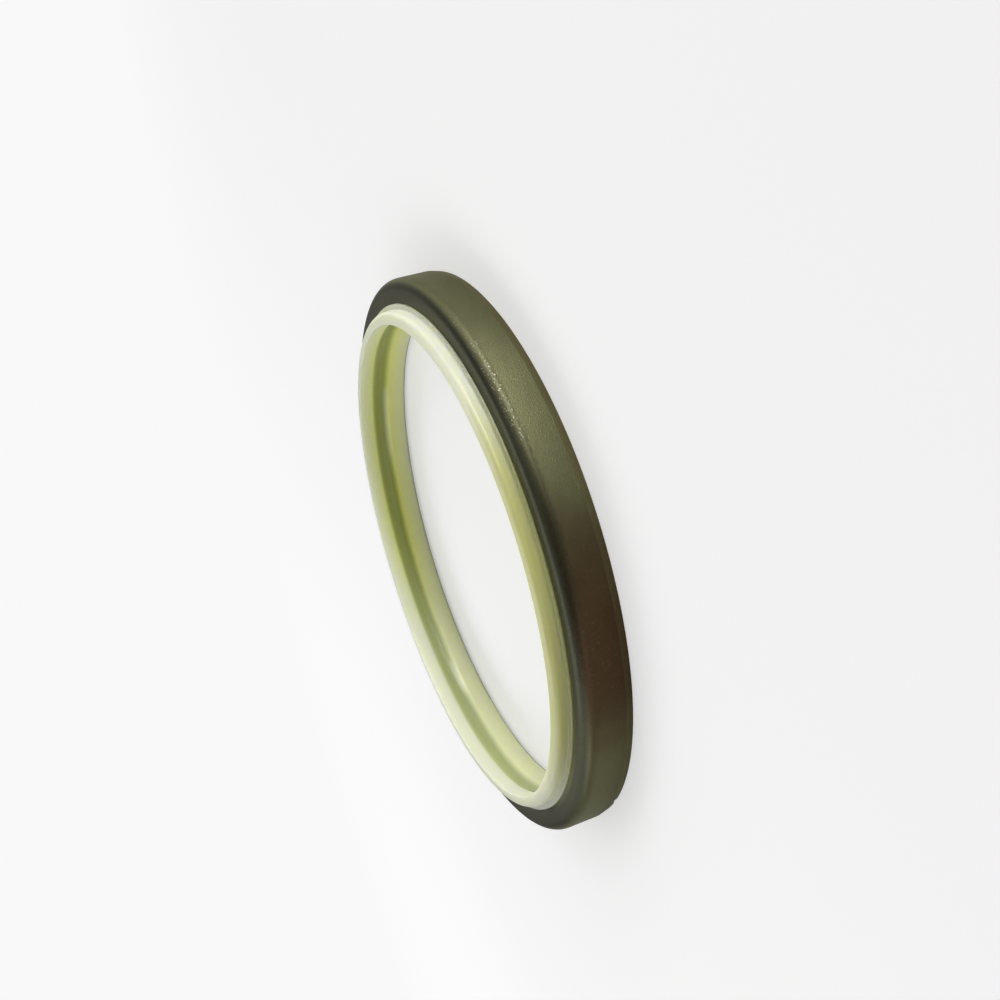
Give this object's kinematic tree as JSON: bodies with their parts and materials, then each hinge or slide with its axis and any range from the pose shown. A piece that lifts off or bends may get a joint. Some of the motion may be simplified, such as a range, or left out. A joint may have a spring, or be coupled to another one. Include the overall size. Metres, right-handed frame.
{
  "type": "hydraulic rod wiper seal",
  "caption": "Press-in hydraulic rod wiper: rounded steel case with a polyurethane body whose lips scrape the rod clean and hold back oil film.",
  "frame": {"origin": "centre of the ring, in the plane of the case's back rim, which is the surface that the ring lies on", "axes": "+Z along the rod's axis, out of the cylinder, towards the wiping lip; X and Y are free, because the ring is turned about Z"},
  "size_m": [0.104, 0.104, 0.0107],
  "materials": {
    "case_steel": "satin olive phosphate coat on pressed steel, with a fine metallic sparkle",
    "polyurethane": "smooth, slightly glossy moulded polyurethane, pale cream green"
  },
  "bodies": {
    "root": {"case": "case_steel", "wiper_body": "polyurethane"}
  },
  "joints": []
}
